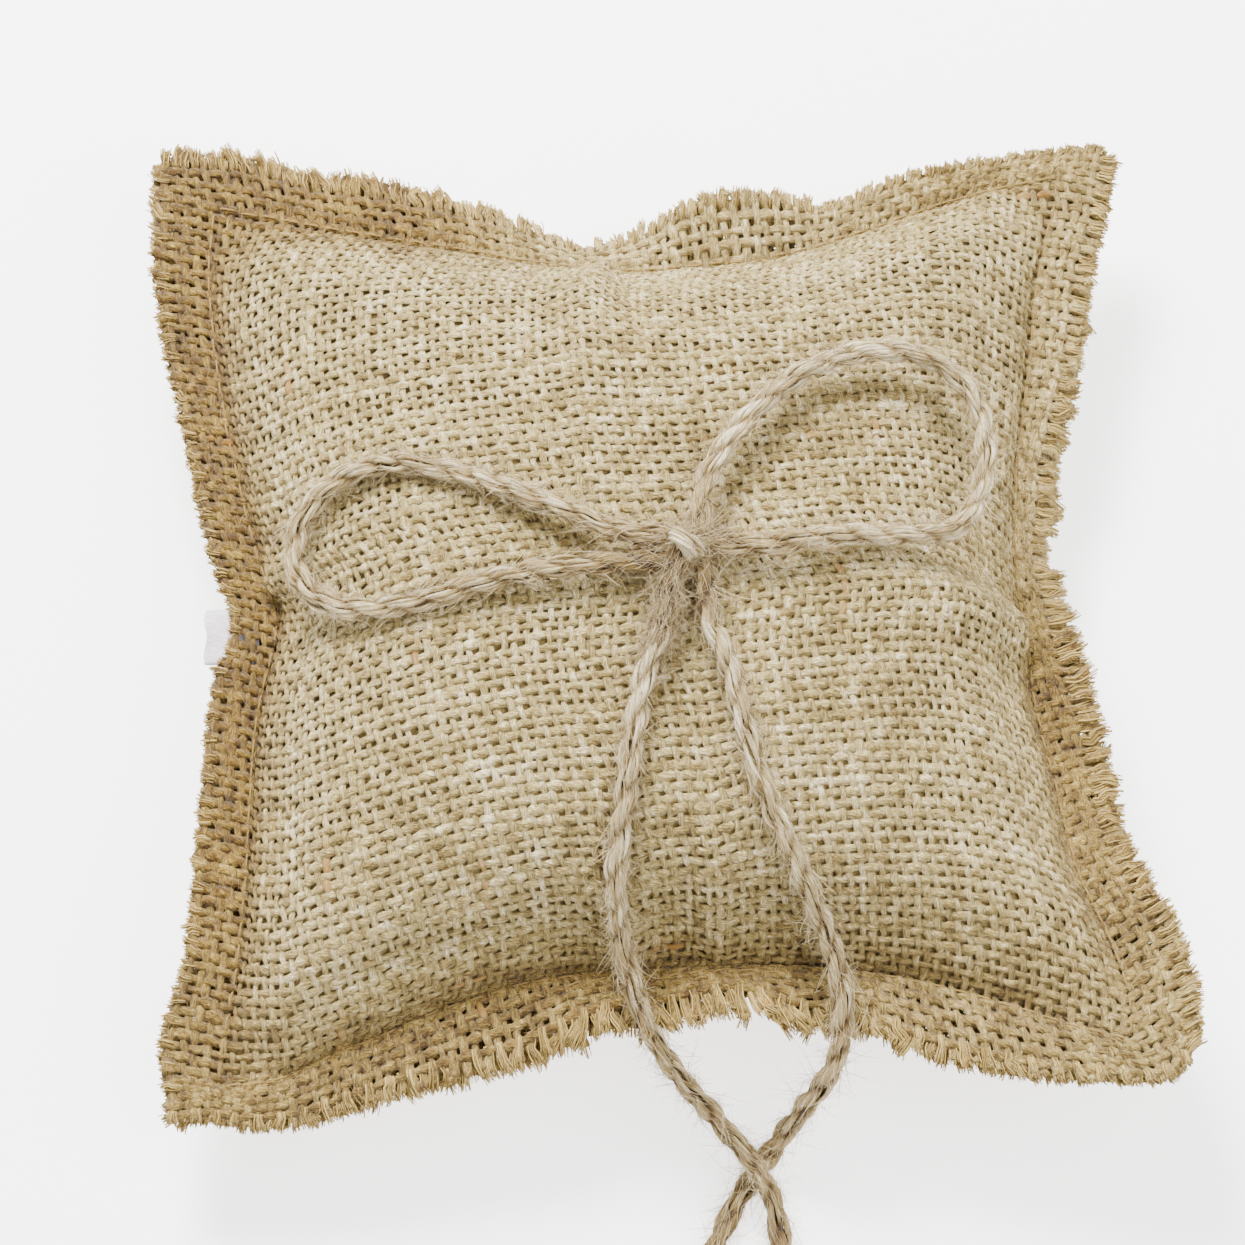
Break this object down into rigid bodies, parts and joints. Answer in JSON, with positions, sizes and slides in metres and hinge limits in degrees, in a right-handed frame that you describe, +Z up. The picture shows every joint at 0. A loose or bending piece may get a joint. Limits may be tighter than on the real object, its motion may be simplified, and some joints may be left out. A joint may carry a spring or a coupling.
{
  "type": "ring bearer pillow",
  "caption": "Small square burlap cushion with frayed raw-edge flanges and a natural twine bow on its front, whose long tails hold the rings.",
  "frame": {"origin": "middle of the flanges' outline, on the surface that the pillow lies on", "axes": "+Z up out of the front face, +X towards the right edge seen from the front, +Y towards the top edge; the tails run towards -Y"},
  "size_m": [0.157, 0.1815, 0.0535],
  "materials": {
    "burlap": "coarse plain weave, matt",
    "fibre_fill": "loose fibre, matt",
    "sewing_thread": "spun thread, matt",
    "label_satin": "satin ribbon, soft sheen",
    "jute_twine": "twisted hairy twine, matt"
  },
  "bodies": {
    "root": {"front_panel": "burlap", "back_panel": "burlap", "stuffing": "fibre_fill", "side_label": "label_satin", "seam_stitches_top": "sewing_thread", "seam_stitches_right": "sewing_thread", "seam_stitches_bottom": "sewing_thread", "seam_stitches_left": "sewing_thread", "closing_stitches": "sewing_thread", "tack_stitch": "sewing_thread", "bow_knot": "jute_twine", "bow_left_loop": "jute_twine", "bow_right_loop": "jute_twine", "left_tail": "jute_twine", "right_tail": "jute_twine"}
  },
  "joints": []
}
